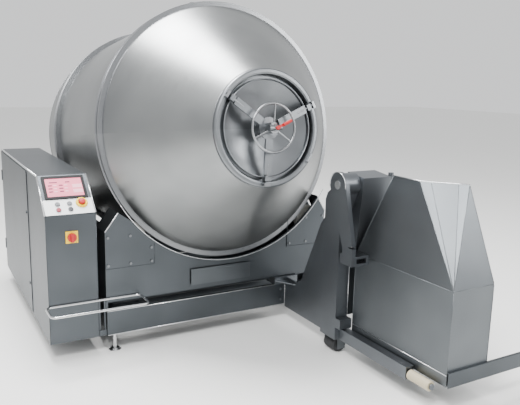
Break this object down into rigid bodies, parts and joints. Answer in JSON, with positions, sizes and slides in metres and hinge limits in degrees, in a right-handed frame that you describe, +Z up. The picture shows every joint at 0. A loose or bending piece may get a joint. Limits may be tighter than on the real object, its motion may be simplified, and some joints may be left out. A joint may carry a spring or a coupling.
{
  "type": "meat vacuum tumbler",
  "caption": "Tilting-mouth stainless vacuum tumbler: ringed conical drum on rollers in a welded frame, clamped lid with handwheel, control cabinet and a tipping hopper loader",
  "frame": {"origin": "middle of the machine's footprint, on the floor", "axes": "X to the right as the operator faces the mouth, Y away from the operator towards the drum's back, Z up"},
  "size_m": [2.195, 3.7562, 2.0896],
  "materials": {
    "black_plastic": "moulded, fine texture",
    "blasted_stainless": "fine bead-blasted stainless",
    "brass_union": "machined brass",
    "button_plastic": "moulded, glossy",
    "cast_blocks": "painted cast iron",
    "dark_rubber": "solid rubber tyre, matt",
    "natural_nylon": "machined nylon, natural",
    "painted_castings": "machine enamel on castings",
    "polished_stainless": "turned and polished stainless",
    "red_plastic": "moulded, glossy",
    "satin_stainless": "satin brushed stainless sheet",
    "screen_glass": "dark coated glass over a panel",
    "white_nylon": "machined cast nylon",
    "white_panel": "powder coated, smooth",
    "white_rubber": "food-grade silicone, matt",
    "yellow_plastic": "moulded, semi-gloss"
  },
  "bodies": {
    "machine_frame": {"base_frame": "satin_stainless", "front_beam": "satin_stainless", "front_saddle": "satin_stainless", "rear_saddle": "satin_stainless", "roller_covers": "satin_stainless", "cover_screws": "polished_stainless", "roller_axles": "polished_stainless", "axle_blocks": "cast_blocks", "levelling_feet": "satin_stainless", "cabinet_shell": "satin_stainless", "control_panel": "white_panel", "screen_bezel": "black_plastic", "touch_screen": "screen_glass", "main_switch_plate": "yellow_plastic", "button_collars": "polished_stainless", "guard_loop": "satin_stainless", "guide_rail": "polished_stainless", "rear_post": "satin_stainless", "rear_bearing": "cast_blocks", "rotary_union": "brass_union", "vacuum_pipe": "satin_stainless", "vacuum_pump": "painted_castings", "gear_motor": "painted_castings"},
    "drum": {"drum_shell": "blasted_stainless", "running_rings": "polished_stainless", "mouth_collar": "polished_stainless", "collar_lugs": "polished_stainless", "mixing_paddles": "satin_stainless", "rear_shaft": "polished_stainless", "top_lug": "satin_stainless"},
    "lid": {"lid_dish": "blasted_stainless", "lid_seal": "white_rubber", "lid_spider": "polished_stainless", "vacuum_valve": "polished_stainless"},
    "loader": {"loader_console": "satin_stainless", "loader_column": "satin_stainless", "loader_leg": "satin_stainless", "pivot_shaft": "polished_stainless"},
    "tipping_hopper": {"tipping_arm": "satin_stainless", "cross_housing": "satin_stainless", "hopper": "satin_stainless", "lip_rail": "satin_stainless"},
    "handwheel_body": {"handwheel": "polished_stainless"},
    "valve_lever_body": {"valve_lever": "red_plastic"},
    "locking_bolt_1_body": {"locking_bolt_1": "polished_stainless"},
    "locking_bolt_2_body": {"locking_bolt_2": "polished_stainless"},
    "locking_bolt_3_body": {"locking_bolt_3": "polished_stainless"},
    "cabinet_door_body": {"cabinet_door": "satin_stainless"},
    "main_switch_knob_body": {"main_switch_knob": "red_plastic"},
    "e_stop_button_body": {"e_stop_button": "red_plastic"},
    "push_button_1_body": {"push_button_1": "button_plastic"},
    "push_button_2_body": {"push_button_2": "button_plastic"},
    "push_button_3_body": {"push_button_3": "button_plastic"},
    "push_button_4_body": {"push_button_4": "button_plastic"},
    "column_wheel_body": {"column_wheel": "dark_rubber"},
    "leg_end_roller_body": {"leg_end_roller": "natural_nylon"},
    "front_left_roller_body": {"front_left_roller": "white_nylon"},
    "front_right_roller_body": {"front_right_roller": "white_nylon"},
    "rear_left_roller_body": {"rear_left_roller": "white_nylon"},
    "rear_right_roller_body": {"rear_right_roller": "white_nylon"}
  },
  "joints": [
    {"name": "drum_spin", "type": "hinge", "parent": "machine_frame", "child": "drum", "pos_m": [0.0595, -0.2721, 1.29], "axis": [0, -0.9945, 0.1045], "continuous": true},
    {"name": "front_left_roller_spin", "type": "hinge", "parent": "machine_frame", "child": "front_left_roller_body", "pos_m": [-0.57158, -0.3358, 0.68392], "axis": [0, -0.9945, 0.1045], "continuous": true},
    {"name": "front_right_roller_spin", "type": "hinge", "parent": "machine_frame", "child": "front_right_roller_body", "pos_m": [0.69058, -0.3358, 0.68392], "axis": [0, -0.9945, 0.1045], "continuous": true},
    {"name": "rear_left_roller_spin", "type": "hinge", "parent": "machine_frame", "child": "rear_left_roller_body", "pos_m": [-0.57158, 0.83774, 0.56057], "axis": [0, -0.9945, 0.1045], "continuous": true},
    {"name": "rear_right_roller_spin", "type": "hinge", "parent": "machine_frame", "child": "rear_right_roller_body", "pos_m": [0.69058, 0.83774, 0.56057], "axis": [0, -0.9945, 0.1045], "continuous": true},
    {"name": "lid_slide", "type": "slide", "parent": "drum", "child": "lid", "axis": [0, -0.9945, 0.1045], "range_m": [0, 0.35]},
    {"name": "handwheel_turn", "type": "hinge", "parent": "lid", "child": "handwheel_body", "pos_m": [0.0595, -0.86881, 1.35272], "axis": [0, -0.9945, 0.1045], "range_deg": [0, 90]},
    {"name": "valve_lever_turn", "type": "hinge", "parent": "lid", "child": "valve_lever_body", "pos_m": [0.0595, -0.96826, 1.36317], "axis": [0, -0.9945, 0.1045], "range_deg": [0, 90]},
    {"name": "locking_bolt_1_slide", "type": "slide", "parent": "lid", "child": "locking_bolt_1_body", "axis": [0.9135, 0.0425, 0.4045], "range_m": [0, 0.028]},
    {"name": "locking_bolt_2_slide", "type": "slide", "parent": "lid", "child": "locking_bolt_2_body", "axis": [-0.809, 0.0614, 0.5846], "range_m": [0, 0.028]},
    {"name": "locking_bolt_3_slide", "type": "slide", "parent": "lid", "child": "locking_bolt_3_body", "axis": [-0.1045, -0.104, -0.9891], "range_m": [0, 0.028]},
    {"name": "e_stop_press", "type": "slide", "parent": "machine_frame", "child": "e_stop_button_body", "axis": [0, 0.677, -0.736], "range_m": [0, 0.004]},
    {"name": "push_button_1_press", "type": "slide", "parent": "machine_frame", "child": "push_button_1_body", "axis": [0, 0.677, -0.736], "range_m": [0, 0.003], "stiffness_N_per_m": 300},
    {"name": "push_button_2_press", "type": "slide", "parent": "machine_frame", "child": "push_button_2_body", "axis": [0, 0.677, -0.736], "range_m": [0, 0.003], "stiffness_N_per_m": 300},
    {"name": "push_button_3_press", "type": "slide", "parent": "machine_frame", "child": "push_button_3_body", "axis": [0, 0.677, -0.736], "range_m": [0, 0.003], "stiffness_N_per_m": 300},
    {"name": "push_button_4_press", "type": "slide", "parent": "machine_frame", "child": "push_button_4_body", "axis": [0, 0.677, -0.736], "range_m": [0, 0.003], "stiffness_N_per_m": 300},
    {"name": "main_switch_turn", "type": "hinge", "parent": "machine_frame", "child": "main_switch_knob_body", "pos_m": [-0.9315, -0.4221, 0.727], "axis": [0, -1, 0], "range_deg": [0, 90]},
    {"name": "cabinet_door_swing", "type": "hinge", "parent": "machine_frame", "child": "cabinet_door_body", "pos_m": [-1.0776, 1.2631, 0.645], "axis": [0, 0, -1], "range_deg": [0, 110]},
    {"name": "loader_slide", "type": "slide", "parent": "machine_frame", "child": "loader", "axis": [1, 0, 0], "range_m": [-0.63, 0]},
    {"name": "hopper_tip", "type": "hinge", "parent": "loader", "child": "tipping_hopper", "pos_m": [0.5595, -1.0621, 1.04], "axis": [-1, 0, 0], "range_deg": [0, 130]},
    {"name": "leg_end_roller_spin", "type": "hinge", "parent": "loader", "child": "leg_end_roller_body", "pos_m": [0.5035, -1.7221, 0.123], "axis": [0, -1, 0], "continuous": true},
    {"name": "column_wheel_spin", "type": "hinge", "parent": "loader", "child": "column_wheel_body", "pos_m": [0.5035, -0.9871, 0.046], "axis": [0, -1, 0], "continuous": true}
  ],
  "couplings": [
    {"joint": "front_left_roller_spin", "follows": "drum_spin", "ratio": -9.3177},
    {"joint": "front_right_roller_spin", "follows": "drum_spin", "ratio": -9.3177},
    {"joint": "rear_left_roller_spin", "follows": "drum_spin", "ratio": -9.3177},
    {"joint": "rear_right_roller_spin", "follows": "drum_spin", "ratio": -9.3177},
    {"joint": "locking_bolt_1_slide", "follows": "handwheel_turn", "m_per_rad": 0.017825},
    {"joint": "locking_bolt_2_slide", "follows": "handwheel_turn", "m_per_rad": 0.017825},
    {"joint": "locking_bolt_3_slide", "follows": "handwheel_turn", "m_per_rad": 0.017825}
  ]
}
